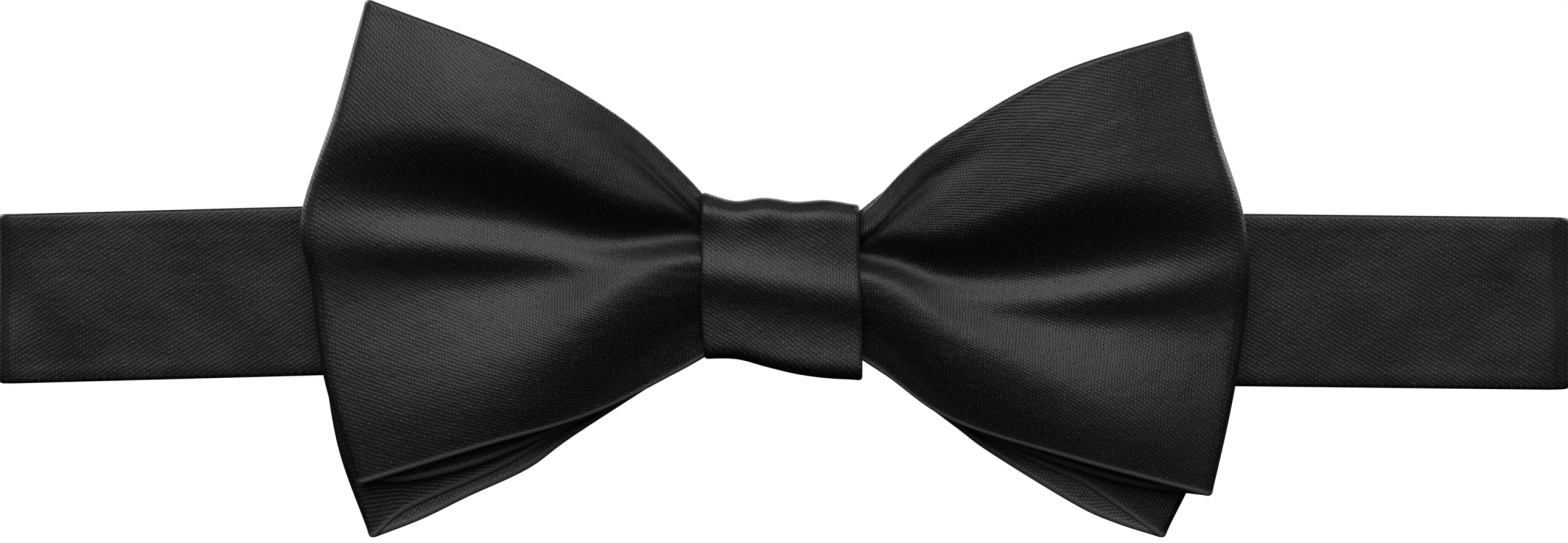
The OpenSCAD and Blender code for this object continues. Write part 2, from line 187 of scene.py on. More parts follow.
def ribbon(name, middle, thickness, closed, flat_width, along=None, turned=False, bead=0.15,
           painted_edge_light=(0, 0), share=None):
    """A strip of cloth with rounded edges. middle is a grid of points in metres, along by across, along
    is how far each row is from the strip's start, and turned says that the weave runs across the strip.
    bead is the share by which the cloth is thicker at its folded edges, painted_edge_light says how
    strongly a painted highlight lightens its lower and its upper edge, and share is where the points across
    lie, from 0 to 1.
    Each point keeps its place in the weave: millimetres along the cloth, millimetres across it, and how
    much painted edge highlight it takes."""
    middle = np.asarray(middle, float)
    count, across = middle.shape[:2]
    if closed:
        run = np.roll(middle, -1, 0) - np.roll(middle, 1, 0)
    else:
        run = np.gradient(middle, axis=0)
    rise = np.gradient(middle, axis=1)
    normal = np.cross(run, rise)
    normal /= np.linalg.norm(normal, axis=2, keepdims=True)
    rise /= np.linalg.norm(rise, axis=2, keepdims=True)
    share = np.linspace(0, 1, across) if share is None else share
    swell = 1 + bead * hill(np.minimum(share, 1 - share) * flat_width, 0, EDGE_ROLL)
    half = thickness / 2 * swell[None, :, None]
    steps = np.linalg.norm(np.diff(middle, axis=0), axis=2).mean(1)
    length = np.concatenate([[0], np.cumsum(steps)]) if along is None else along

    columns, tags = [], []
    for j in range(across):
        columns.append(middle[:, j] + normal[:, j] * half[:, j])
        tags.append(share[j])
    for k in range(1, EDGE_STEPS):
        a = math.pi * k / EDGE_STEPS
        round_edge = normal[:, -1] * math.cos(a) + rise[:, -1] * math.sin(a)
        columns.append(middle[:, -1] + round_edge * half[:, -1])
        tags.append(1)
    for j in range(across - 1, -1, -1):
        columns.append(middle[:, j] - normal[:, j] * half[:, j])
        tags.append(share[j])
    for k in range(1, EDGE_STEPS):
        a = math.pi * k / EDGE_STEPS
        round_edge = normal[:, 0] * math.cos(a) + rise[:, 0] * math.sin(a)
        columns.append(middle[:, 0] - round_edge * half[:, 0])
        tags.append(0)
    grid = np.stack(columns, 1)
    ring = grid.shape[1]
    tags = np.array(tags)
    weave = np.zeros((count, ring, 3))
    weave[:, :, 0] = length[:, None] / MM
    weave[:, :, 1] = tags[None, :] * flat_width / MM
    from_edge = np.minimum(tags, 1 - tags) * flat_width
    # Painted highlight: a thin light line along the lower and upper edges, where a folded edge would catch
    # the light.
    weave[:, :, 2] = (hill(from_edge, 0, EDGE_LINE) * np.where(tags < 0.5, *painted_edge_light))[None, :]
    if turned:
        weave = weave[:, :, [1, 0, 2]] * (1, -1, 1)
    faces = []
    for i in range(count if closed else count - 1):
        k = (i + 1) % count
        for j in range(ring):
            m = (j + 1) % ring
            faces.append((i * ring + j, k * ring + j, k * ring + m, i * ring + m))
    if not closed:
        for row in (0, count - 1):
            for j in range(across - 1):
                a, b = row * ring + j, row * ring + j + 1
                c = row * ring + (across + EDGE_STEPS - 1) + (across - 1 - j) - 1
                faces.append((a, b, c, c + 1))
            top_cap = [row * ring + j for j in range(across - 1, across + EDGE_STEPS)]
            low_first = 2 * across + EDGE_STEPS - 2
            low_cap = [row * ring + (j % ring) for j in range(low_first, low_first + EDGE_STEPS + 1)]
            faces.append(tuple(top_cap))
            faces.append(tuple(low_cap))
    return make_object(name, grid.reshape(-1, 3), faces, weave.reshape(-1, 3))


# ---- Materials ----
def new_material(name):
    material = bpy.data.materials.new(name)
    material.use_nodes = True
    nodes, links = material.node_tree.nodes, material.node_tree.links
    return material, nodes, links, nodes["Principled BSDF"]


def math_node(nodes, links, operation, a, b=None):
    node = nodes.new("ShaderNodeMath")
    node.operation = operation
    for socket, value in ((node.inputs[0], a), (node.inputs[1], b)):
        if value is None:
            continue
        if isinstance(value, (int, float)):
            socket.default_value = value
        else:
            links.new(value, socket)
    return node.outputs[0]


def wave(nodes, links, value, period):
    """A cosine from 0 to 1 with that period."""
    turned = math_node(nodes, links, "MULTIPLY", value, 2 * math.pi / period)
    cosine = math_node(nodes, links, "COSINE", turned)
    half = math_node(nodes, links, "MULTIPLY", cosine, 0.5)
    return math_node(nodes, links, "ADD", half, 0.5)


def ramp(nodes, links, value, stops):
    node = nodes.new("ShaderNodeValToRGB")
    links.new(value, node.inputs[0])
    elements = node.color_ramp.elements
    while len(elements) < len(stops):
        elements.new(0.5)
    for element, (place, colour) in zip(elements, stops):
        element.position = place
        element.color = (*colour, 1)
    return node.outputs[0]


def noise(nodes, links, vector, scale, detail=2.0):
    node = nodes.new("ShaderNodeTexNoise")
    node.inputs["Scale"].default_value = scale
    node.inputs["Detail"].default_value = detail
    links.new(vector, node.inputs["Vector"])
    return node.outputs["Fac"]


def map_range(nodes, links, value, low, high, start=0.0, stop=1.0):
    """Carries the values from start to stop to the ones from low to high, and no further."""
    node = nodes.new("ShaderNodeMapRange")
    node.inputs["From Min"].default_value = start
    node.inputs["From Max"].default_value = stop
    node.inputs["To Min"].default_value = low
    node.inputs["To Max"].default_value = high
    links.new(value, node.inputs["Value"])
    return node.outputs["Result"]


def bump(nodes, links, height, strength, distance, normal=None):
    node = nodes.new("ShaderNodeBump")
    node.inputs["Strength"].default_value = strength
    node.inputs["Distance"].default_value = distance
    links.new(height, node.inputs["Height"])
    if normal is not None:
        links.new(normal, node.inputs["Normal"])
    return node.outputs["Normal"]


def weave_place(nodes, links):
    """Where a point lies on its cloth: along it and across it in millimetres, and how much painted edge
    highlight it takes.
    """
    place = nodes.new("ShaderNodeAttribute")
    place.attribute_name = "weave"
    parts = nodes.new("ShaderNodeSeparateXYZ")
    links.new(place.outputs["Vector"], parts.inputs[0])
    return parts.outputs


# The satin's weave, with its pitches in millimetres and its noises' scales per millimetre.
THREAD_PITCH = 0.39       # between the floats, along the strip
FLOAT_PITCH = 0.6         # between the floats, across the strip
TWILL_SHIFT = 0.375       # share of a float by which each thread steps
FLOAT_POWER = 0.5         # a smaller power makes broader floats
WOBBLE_SCALE = 0.35
WOBBLE = 0.9              # how far the threads wander
FIBRE_SCALE = 1.9
FIBRE = (-0.35, 2.0)      # how bright the dullest and the brightest fibres are
GLINT_SCALE = 2.3
GLINT_FROM = 0.6          # the noise above this makes painted highlights on floats
GLINT_TO = 0.78
GLINT_GAIN = 1.5
LIGHT_TONE = 0.6          # the tone at which a float has its plain colour
EDGE_HIGHLIGHT_MIX = 0.85          # how far an edge takes the painted highlight colour
GLOSS_GAIN = 0.16         # how much smoother a float is than the gap beside it
FINE_STRENGTH = 0.42
FINE_DEPTH = 0.07 * MM
CREASE_SCALE = 0.16
CREASE_STRENGTH = 0.5
CREASE_DEPTH = 0.35 * MM


def satin_material(name, dark, light, painted_glint_tone, painted_edge_light, roughness):
    material, nodes, links, shader = new_material(name)
    place_along, place_across, edge = weave_place(nodes, links)
    join = nodes.new("ShaderNodeCombineXYZ")
    links.new(place_along, join.inputs[0])
    links.new(place_across, join.inputs[1])
    flat = join.outputs[0]

    wobble = noise(nodes, links, flat, WOBBLE_SCALE, 3.0)
    shift = math_node(nodes, links, "MULTIPLY", wobble, WOBBLE)
    along = math_node(nodes, links, "ADD", place_along, shift)
    threads = wave(nodes, links, along, THREAD_PITCH)
    step = math_node(nodes, links, "MULTIPLY", along, TWILL_SHIFT * FLOAT_PITCH / THREAD_PITCH)
    slant = math_node(nodes, links, "ADD", place_across, step)
    floats = wave(nodes, links, slant, FLOAT_PITCH)
    both = math_node(nodes, links, "MULTIPLY", threads, floats)
    weave = math_node(nodes, links, "POWER", both, FLOAT_POWER)

    slub = noise(nodes, links, flat, FIBRE_SCALE, 5.0)
    fibre = map_range(nodes, links, slub, *FIBRE)
    # Painted highlight: a few floats get a lighter colour, as if they caught the light more than the
    # others.
    glint_noise = noise(nodes, links, flat, GLINT_SCALE, 1.0)
    bright = map_range(nodes, links, glint_noise, 0.0, GLINT_GAIN, GLINT_FROM, GLINT_TO)
    fibre_and_glint = math_node(nodes, links, "ADD", fibre, bright)
    tone = math_node(nodes, links, "MULTIPLY", weave, fibre_and_glint)
    # Painted highlight: the edges are mixed towards a light colour, as if their folded rolls caught the
    # light.
    mix = nodes.new("ShaderNodeMix")
    mix.data_type = "RGBA"
    links.new(math_node(nodes, links, "MULTIPLY", edge, EDGE_HIGHLIGHT_MIX), mix.inputs["Factor"])
    colour = ramp(nodes, links, tone, [(0.0, dark), (LIGHT_TONE, light), (1.0, painted_glint_tone)])
    links.new(colour, mix.inputs["A"])
    mix.inputs["B"].default_value = (*painted_edge_light, 1)
    links.new(mix.outputs["Result"], shader.inputs["Base Color"])
    smoother = math_node(nodes, links, "MULTIPLY", weave, GLOSS_GAIN)
    links.new(math_node(nodes, links, "SUBTRACT", roughness, smoother), shader.inputs["Roughness"])
    shader.inputs["Specular IOR Level"].default_value = 0.4
    shader.inputs["Anisotropic"].default_value = 0.3
    shader.inputs["Sheen Weight"].default_value = 0.02
    shader.inputs["Sheen Roughness"].default_value = 0.35
    shader.inputs["Sheen Tint"].default_value = (0.9, 0.93, 1.0, 1)

    fine = bump(nodes, links, tone, FINE_STRENGTH, FINE_DEPTH)
    creases = noise(nodes, links, flat, CREASE_SCALE, 3.0)
    soft = bump(nodes, links, creases, CREASE_STRENGTH, CREASE_DEPTH, fine)
    links.new(soft, shader.inputs["Normal"])
    return material


TWIST_SCALE = 2600


def thread_material():
    material, nodes, links, shader = new_material("sewing_thread")
    place = nodes.new("ShaderNodeTexCoord")
    twist = nodes.new("ShaderNodeTexWave")
    twist.bands_direction = "DIAGONAL"
    twist.inputs["Scale"].default_value = TWIST_SCALE
    links.new(place.outputs["Object"], twist.inputs["Vector"])
    stops = [(0.0, (0.008, 0.008, 0.009)), (1.0, (0.06, 0.06, 0.064))]
    colour = ramp(nodes, links, twist.outputs["Fac"], stops)
    links.new(colour, shader.inputs["Base Color"])
    shader.inputs["Roughness"].default_value = 0.55
    shader.inputs["Sheen Weight"].default_value = 0.3
    normal = bump(nodes, links, twist.outputs["Fac"], 0.6, 0.05 * MM)
    links.new(normal, shader.inputs["Normal"])
    return material


def enamel_material():
    material, nodes, links, shader = new_material("black_enamel")
    place = nodes.new("ShaderNodeTexCoord")
    grain = noise(nodes, links, place.outputs["Object"], 900, 4.0)
    patches = noise(nodes, links, place.outputs["Object"], 160, 3.0)
    colour = ramp(nodes, links, patches, [(0.3, (0.012, 0.012, 0.013)), (0.75, (0.028, 0.028, 0.03))])
    links.new(colour, shader.inputs["Base Color"])
    links.new(map_range(nodes, links, patches, 0.2, 0.36), shader.inputs["Roughness"])
    shader.inputs["Metallic"].default_value = 0.0
    shader.inputs["Coat Weight"].default_value = 0.6
    shader.inputs["Coat Roughness"].default_value = 0.12
    links.new(bump(nodes, links, grain, 0.25, 0.04 * MM), shader.inputs["Normal"])
    return material


RIB_PITCH = 0.3      # mm between the label's threads


def label_material():
    material, nodes, links, shader = new_material("label_taffeta")
    along, across, _ = weave_place(nodes, links)
    ribs = math_node(nodes, links, "MULTIPLY", wave(nodes, links, along, RIB_PITCH),
                     wave(nodes, links, across, RIB_PITCH))
    colour = ramp(nodes, links, ribs, [(0.0, (0.02, 0.02, 0.022)), (1.0, (0.075, 0.075, 0.08))])
    links.new(colour, shader.inputs["Base Color"])
    shader.inputs["Roughness"].default_value = 0.6
    shader.inputs["Sheen Weight"].default_value = 0.3
    links.new(bump(nodes, links, ribs, 0.5, 0.05 * MM), shader.inputs["Normal"])
    return material


# The edge colour is a painted highlight for folded edges that catch the light.
# The lightest weave colour is a painted highlight for floats that catch the light.
SATIN = satin_material("black_satin", dark=(0.0006, 0.0006, 0.0007), light=(0.0096, 0.0096, 0.0104),
                       painted_glint_tone=(0.018, 0.018, 0.019), painted_edge_light=(0.11, 0.11, 0.115), roughness=0.48)
THREAD = thread_material()
ENAMEL = enamel_material()
LABEL = label_material()


def dress(piece, material):
    piece.data.materials.clear()
    piece.data.materials.append(material)


# ---- The bow ----
PLY_T = 0.9 * MM
ACROSS = across_shares(61)
OUT_STEPS = 56       # sections from the knot to the fold
FOLD_STEPS = 9       # sections round a fold
BOW_FLAT_W = 62 * MM

# Edges in millimetres, in X and Z, from the knot outwards or from the bottom tip up.
LEFT_FRONT = {
    "top": [(-8, 8.6), (-12.6, 13.8), (-20.6, 20.8), (-34, 28.5), (-51.9, 35.5)],
    "bottom": [(-8, -7.8), (-13.5, -10.9), (-24.4, -16.2), (-38, -20.2), (-53, -24.8)],
    "outer": [(-53, -24.8), (-56.3, -12), (-57.7, 0), (-58.9, 8.4), (-54.9, 22), (-51.9, 35.5)],
    "back_top": [(-8, 8), (-20, 19), (-36, 27.5), (-51.9, 35.5)],
    "back_bottom": [(-8, -7.8), (-24, -16.6), (-37, -22.7), (-47, -25.7), (-53.6, -26.3)],
}
RIGHT_FRONT = {
    "top": [(8, 7.4), (11.4, 9.4), (15.9, 14.1), (21.4, 18.5), (35, 26.2), (51.4, 31.5)],
    "bottom": [(8, -7.6), (13.5, -11.1), (22, -16.9), (36, -21.4), (54, -26.3)],
    "outer": [(54, -26.3), (56.1, -13), (57.6, 0), (56.8, 9), (53.7, 20), (51.4, 31.5)],
    "back_top": [(8, 7.2), (22, 18), (37, 25.8), (51.4, 31.5)],
    "back_bottom": [(8, -7.6), (24.5, -18.2), (36, -23.1), (46, -26.1), (54.6, -27.4)],
}
LEFT_REAR = {
    "top": [(-8, 7), (-22, 17), (-38, 23.5), (-50, 27)],
    "bottom": [(-8, -7), (-26, -17.3), (-33, -21.5), (-37.5, -23.8), (-47.5, -28.2), (-51.7, -31.7)],
    "outer": [(-51.7, -31.7), (-55.5, -19), (-56.6, -4), (-54, 12), (-50, 27)],
    "back_top": [(-8, 7), (-22, 16.6), (-38, 23), (-50, 27)],
    "back_bottom": [(-8, -7), (-26, -18.8), (-32.3, -23.4), (-40, -27.1), (-46, -30.1), (-52, -32.5)],
}
RIGHT_REAR = {
    "top": [(8, 7), (22, 16), (37, 21), (49, 24)],
    "bottom": [(8, -7), (22, -16.4), (28, -19.9), (33, -22.5), (38.5, -24.9), (42.5, -27.5), (48.4, -31.7)],
    "outer": [(48.4, -31.7), (53, -20), (54.6, -4), (53, 12), (49, 24)],
    "back_top": [(8, 7), (22, 15.6), (37, 20.6), (49, 24)],
    "back_bottom": [(8, -7), (22, -17.4), (27, -21.1), (37.9, -27.8), (43.1, -30.2), (48.9, -32.1)],
}


def wing_grid(edges, top, bottom):
    """One ply of a wing as a grid of X and Z, outwards by upwards."""
    low, high = edges[bottom][0], edges[top][0]
    inner = np.column_stack([np.full(len(ACROSS), low[0]), low[1] + (high[1] - low[1]) * ACROSS])
    outer = placed(edges["outer"], ACROSS)
    return coons(even(edges[bottom], OUT_STEPS), even(edges[top], OUT_STEPS), inner, outer, ACROSS)


def lobes(u, w, shape):
    """How far a wing's front puffs forward, in millimetres."""
    total = np.zeros(np.broadcast(u, w).shape)
    for middle, below, above, rise in shape:
        place = between(u, middle)
        width = np.where(w < place, between(u, below), between(u, above))
        total = total + between(u, rise) * hill(w, place, width)
    return total


# Each ridge or valley has its place across the wing, its width below and above that place and its rise, all
# in even steps from the knot to the fold.
LEFT_LOBES = [
    ((0.92, 0.77, 0.785, 0.79, 0.75), (0.09, 0.13, 0.14, 0.15, 0.15), (0.1, 0.3, 0.5, 0.5, 0.4),
     (1.2, 4.2, 5.8, 5.8, 2.8)),
    ((0.66, 0.52, 0.505, 0.50, 0.50), (0.05, 0.05, 0.06, 0.065, 0.08), (0.05, 0.05, 0.06, 0.065, 0.08),
     (0.1, 0.4, 1.4, 1.8, 1.1)),
    ((0.64, 0.41, 0.19, 0.07, 0.05), (0.4, 0.34, 0.3, 0.3, 0.3), (0.12, 0.17, 0.23, 0.29, 0.28),
     (3.2, 4.4, 3.9, 3.3, 1.9)),
    ((0.84, 0.90, 0.92, 0.92, 0.92), (0.03, 0.04, 0.04, 0.04, 0.04), (0.03, 0.04, 0.04, 0.04, 0.04),
     (-0.7, -0.6, 0.0, 0.0, 0.0)),
]
RIGHT_LOBES = [
    ((0.90, 0.71, 0.71, 0.72, 0.68), (0.09, 0.15, 0.165, 0.165, 0.16), (0.1, 0.5, 2.0, 2.0, 1.2),
     (1.2, 4.2, 5.6, 5.6, 2.8)),
    ((0.62, 0.46, 0.415, 0.43, 0.47), (0.05, 0.05, 0.05, 0.055, 0.07), (0.05, 0.05, 0.05, 0.055, 0.07),
     (0.1, 0.4, 1.0, 1.4, 1.0)),
    ((0.60, 0.34, 0.20, 0.10, 0.07), (0.4, 0.32, 0.3, 0.3, 0.3), (0.12, 0.15, 0.18, 0.23, 0.25),
     (3.2, 4.3, 4.1, 3.7, 2.0)),
    ((0.80, 0.88, 0.90, 0.90, 0.90), (0.03, 0.04, 0.04, 0.04, 0.04), (0.03, 0.04, 0.04, 0.04, 0.04),
     (-0.7, -0.6, 0.0, 0.0, 0.0)),
]
REAR_LOBES = [((0.5, 0.5, 0.5), (0.3, 0.3, 0.3), (0.3, 0.3, 0.3), (0.2, 0.5, 0.1))]
TIP_FOLD = 0.2      # share of a fold's radius that is left at its pinched tips
TIP_POWER = 0.85    # a smaller power keeps the fold full closer to its tips


def wing_sections(edges, front_y, fold_y, fold_r, back_y, shape):
    """One wing's middle surface in millimetres: out along the front, round the fold, back behind."""
    w = ACROSS[None, :]
    u = np.linspace(0, 1, OUT_STEPS)[:, None]
    front = wing_grid(edges, "top", "bottom")
    back = wing_grid(edges, "back_top", "back_bottom")
    radius = fold_r * (TIP_FOLD + (1 - TIP_FOLD) * np.sin(math.pi * w) ** TIP_POWER)
    settle = smooth(u)
    y_front = front_y + (fold_y - radius - front_y) * settle - lobes(u, w, shape)
    y_back = back_y + (fold_y + radius - back_y) * settle
    fold_mid = (y_front[-1] + y_back[-1]) / 2
    fold_half = (y_back[-1] - y_front[-1]) / 2
    side = math.copysign(1, edges["outer"][0][0])
    out = [np.dstack([front[:, :, 0], y_front, front[:, :, 1]])]
    for a in np.linspace(0, math.pi, FOLD_STEPS + 2)[1:-1]:
        share = (1 - math.cos(a)) / 2
        edge = front[-1] * (1 - share) + back[-1] * share
        x = edge[:, 0] + side * radius[0] * math.sin(a)
        out.append(np.dstack([x[None, :], (fold_mid - fold_half * math.cos(a))[None, :], edge[None, :, 1]]))
    out.append(np.dstack([back[:, :, 0], y_back, back[:, :, 1]])[::-1])
    return np.concatenate(out, 0)


def loop(name, left, right, depths, left_shape, right_shape):
    """One closed loop of ribbon, its length and its area."""
    left_part = wing_sections(left, *depths, left_shape)
    right_part = wing_sections(right, *depths, right_shape)
    middle = np.concatenate([right_part, left_part[::-1]], 0) * MM
    run = np.concatenate([[0], np.cumsum(np.linalg.norm(np.diff(middle, axis=0), axis=2).mean(1))])
    # Painted highlight: strong along the lower edges and faint along the upper ones.
    piece = ribbon(name, middle, PLY_T, True, BOW_FLAT_W, along=run, bead=0.12, painted_edge_light=(1.0, 0.15),
                   share=ACROSS)
    return piece, run[-1], grid_area(middle)


def grid_area(grid):
    a = grid[1:, :-1] - grid[:-1, :-1]
    b = grid[:-1, 1:] - grid[:-1, :-1]
    return float(np.linalg.norm(np.cross(a, b), axis=2).sum())


# In millimetres: Y of the front ply at the knot, Y of the fold's middle, its radius, Y of the rear ply.
FRONT_DEPTHS = (-7.6, -6.6, 1.5, -5.6)
REAR_DEPTHS = (-4.0, -3.6, 0.95, -3.1)

front_bow, front_len, front_area = loop("front_bow", LEFT_FRONT, RIGHT_FRONT, FRONT_DEPTHS,
                                        LEFT_LOBES, RIGHT_LOBES)
rear_bow, rear_len, rear_area = loop("rear_bow", LEFT_REAR, RIGHT_REAR, REAR_DEPTHS,
                                     REAR_LOBES, REAR_LOBES)
for piece, length, area, nodes in (
        (front_bow, front_len, front_area, ("front_bow_satin", "front_bow_interlining")),
        (rear_bow, rear_len, rear_area, ("rear_bow_satin", "rear_bow_interlining"))):
    dress(piece, SATIN)
    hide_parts(*nodes)
    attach(piece, "root")


# ---- The knot ----
KNOT_W = 20 * MM
KNOT_T = 0.8 * MM
# The rest of the knot's sizes are in millimetres, of the middle of its cloth.
KNOT_ROUND = 130         # points round it
KNOT_ACROSS = 41
KNOT_HALF_DEPTH = 5.9
KNOT_HALF_H = 10.3
KNOT_HALF_W = 9.6
TOP_POWER = 0.46         # how round its upper corners are, seen from the side
BOTTOM_POWER = 0.14
KNOT_FRONT_Y = -12.2
KNOT_BACK_Y = -0.45
KNOT_TOP = (11.2, 10.2, 10.6, 10.1, 10.3, 9.7)
KNOT_BOTTOM = (-9.0, -9.1, -10.1, -11.0, -11.5, -11.7)
SET_BACK = 0.9           # how far its front and sides are set back, and its back isn't
CROWN = 0.6              # how far its middle stands in front of its sides
FOLD_SLANT = 0.15
SEAM_Z = -6.6            # where the end of the wrap lies over its start, on the back
SEAM_STEP = 0.28         # how far it stands out there
SEAM_RUN = 0.5
BOX_STEPS = 6001


def rounded_box(count, half_depth, half_height, top_power, bottom_power):
    """Even steps round a rounded box seen from the side, from the middle of its back, as depths and heights
    from -1 to 1. A smaller power makes squarer corners."""
    a = np.linspace(0, 2 * math.pi, BOX_STEPS)
    power = np.where(np.sin(a) > 0, top_power, bottom_power)
    y = np.sign(np.cos(a)) * np.abs(np.cos(a)) ** power
    z = np.sign(np.sin(a)) * np.abs(np.sin(a)) ** power
    run = np.concatenate([[0], np.cumsum(np.hypot(np.diff(y) * half_depth, np.diff(z) * half_height))])
    at = np.linspace(0, run[-1], count, endpoint=False)
    return np.interp(at, run, y), np.interp(at, run, z)


def knot():
    """The middle of the knot's cloth as a grid in metres, round it by from left to right."""
    w = np.linspace(0, 1, KNOT_ACROSS)[None, :]
    round_y, round_z = rounded_box(KNOT_ROUND, KNOT_HALF_DEPTH, KNOT_HALF_H, TOP_POWER, BOTTOM_POWER)
    round_y, round_z = round_y[:, None], round_z[:, None]
    top = between(w, KNOT_TOP)
    bottom = between(w, KNOT_BOTTOM)
    z = (top + bottom) / 2 + (top - bottom) / 2 * round_z
    # Its lower left corner leans in and its lower right corner leans out.
    left = -KNOT_HALF_W + 0.4 * smooth((z + 2) / -8)
    right = KNOT_HALF_W + 0.35 * smooth((4 - z) / 10)
    x = left + (right - left) * w
    y = (KNOT_FRONT_Y + KNOT_BACK_Y) / 2 + (KNOT_BACK_Y - KNOT_FRONT_Y) / 2 * round_y
    in_front = smooth(-round_y + 0.1)
    slope = z + FOLD_SLANT * x
    # A fold across its middle, one along its bottom and one along its top.
    folds = 0.75 * hill(slope, -0.2, 2.7) + 0.5 * hill(z, -11.9, 3.4) + 1.05 * hill(z, 10.1, 2.7)
    crown = CROWN * (1 - (2 * w - 1) ** 2)
    y = y - in_front * (folds + crown) + SET_BACK
    behind = smooth(round_y)
    y = y - SET_BACK * behind + SEAM_STEP * behind * smooth((SEAM_Z - z) / SEAM_RUN)
    return np.dstack([x, y, z]) * MM


knot_middle = knot()
knot_wrap = ribbon("knot", knot_middle, KNOT_T, True, KNOT_W, turned=True, bead=0.1)
dress(knot_wrap, SATIN)
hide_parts("knot_wrap", "knot_interlining")
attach(knot_wrap, "root")


THREAD_SIDES = 8
THREAD_END = 0.55        # share of a thread's radius that is left at its ends
SIDEWAYS = Vector((0.31, 0.87, 0.39))     # a direction that no thread runs in


def thread_tube(points, radius):
    """A closed tube through the points, narrower at its ends."""
    sides = THREAD_SIDES
    points = [Vector(p) for p in points]
    verts, faces = [], []
    count = len(points)
    for i, p in enumerate(points):
        t = (points[min(i + 1, count - 1)] - points[max(i - 1, 0)]).normalized()
        a = t.cross(SIDEWAYS).normalized()
        b = t.cross(a)
        r = radius * (THREAD_END if i in (0, count - 1) else 1.0)
        for k in range(sides):
            turn = 2 * math.pi * k / sides
            verts.append(p + (a * math.cos(turn) + b * math.sin(turn)) * r)
    for i in range(count - 1):
        for k in range(sides):
            m = (k + 1) % sides
            faces.append((i * sides + k, i * sides + m, (i + 1) * sides + m, (i + 1) * sides + k))
    faces.append(tuple(range(sides)))
    faces.append(tuple(range((count - 1) * sides, count * sides)))
    return verts, faces


def stitching(name, stitches, radius):
    """One piece that holds a row of stitches, each a list of points."""
    verts, faces = [], []
    for stitch in stitches:
        v, f = thread_tube(stitch, radius)
        faces += [tuple(k + len(verts) for k in face) for face in f]
        verts += v
    return make_object(name, verts, faces)


# The gathering thread's turns, in millimetres.
WAIST_Y = -6.7
WAIST_Z = 0.2
WAIST_HALF_DEPTH = 4.6
WAIST_HALF_H = 8.75
WAIST_POWER = 0.45
WAIST_TURNS = (-4.25, -1.75, 0.75, 3.25)     # X where each turn starts
WAIST_R = 0.25 * MM


def waist_turn(x):
    """One turn of thread round the pleats, inside the knot."""
    turn = []
    for a in np.linspace(0, 2 * math.pi, 49):
        c, s = math.cos(a), math.sin(a)
        y = WAIST_Y + WAIST_HALF_DEPTH * math.copysign(abs(c) ** WAIST_POWER, c)
        z = WAIST_Z + WAIST_HALF_H * math.copysign(abs(s) ** WAIST_POWER, s)
        turn.append(((x + 0.5 * a / math.pi) * MM, y * MM, z * MM))
    return turn


gather = stitching("gathering_thread", [waist_turn(x) for x in WAIST_TURNS], WAIST_R)
dress(gather, THREAD)
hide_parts("gather_thread")
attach(gather, "root")

KNOT_STITCHES = 10
STITCH_R = 0.17 * MM
STITCH_ROW = 16.2        # mm, the length of their row
# One stitch over the seam, in millimetres: sideways, upwards, and out from the knot's back.
STITCH_ARCH = ((-0.55, -7.5, -0.25), (-0.35, -7.15, 0.02), (0, -6.6, 0.12), (0.35, -6.05, 0.02),
               (0.55, -5.7, -0.25))
knot_back = max(v.co.y for v in knot_wrap.data.vertices)
stitches = []
for k in range(KNOT_STITCHES):
    x = (-STITCH_ROW / 2 + STITCH_ROW * (k + 0.5) / KNOT_STITCHES) * MM
    stitches.append([(x + aside * MM, knot_back + out * MM, up * MM) for aside, up, out in STITCH_ARCH])
knot_stitches = stitching("knot_stitching", stitches, STITCH_R)
dress(knot_stitches, THREAD)
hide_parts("knot_stitches")
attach(knot_stitches, "root")


# ---- The neckband ----
STRIP_ACROSS = 15
STRIP_T = BAND_T - 0.1 * MM
WAVES = 0.13             # mm, the height of the neckband's soft creases
CREASE_FROM = 48 * MM    # they start this far from the middle
CREASE_RUN = 14 * MM
FOLD_FROM = 84 * MM      # and are higher towards the folds
FOLD_RUN = 11 * MM
FOLD_GAIN = 1.6
BEHIND_FADE = 0.85       # share by which they fade on the two ends behind


def soft_waves(x, z):
    """Low soft creases of a band that has been folded, as a height from about -1 to 1."""
    return (0.4 * np.sin(0.31 * x + 0.17 * z + 0.6) + 0.3 * np.sin(0.19 * x - 0.34 * z + 2.1)
            + 0.2 * np.sin(0.53 * x + 0.41 * z + 4.0) + 0.1 * np.sin(0.83 * x - 0.6 * z))


def strip(name, route, flat_width, waves=0.0, thickness=STRIP_T):
    """A flat strip that stands on edge. Each step of the route is (x, y, middle height, height), in metres,
    and waves is the height of its creases in millimetres."""
    route = np.asarray(route, float)
    w = np.linspace(-0.5, 0.5, STRIP_ACROSS)[None, :]
    z = route[:, 2:3] + (route[:, 3:4] - thickness) * w
    x = np.repeat(route[:, 0:1], STRIP_ACROSS, 1)
    y = np.repeat(route[:, 1:2], STRIP_ACROSS, 1)
    creases = smooth((np.abs(x) - CREASE_FROM) / CREASE_RUN)
    creases = creases + FOLD_GAIN * smooth((np.abs(x) - FOLD_FROM) / FOLD_RUN)
    behind = smooth((y - BAND_MID_Y) / (2 * FOLD_R))
    y = y + soft_waves(x / MM, z / MM) * waves * MM * creases * (1 - BEHIND_FADE * behind)
    return ribbon(name, np.dstack([x, y, z]), thickness, False, flat_width)


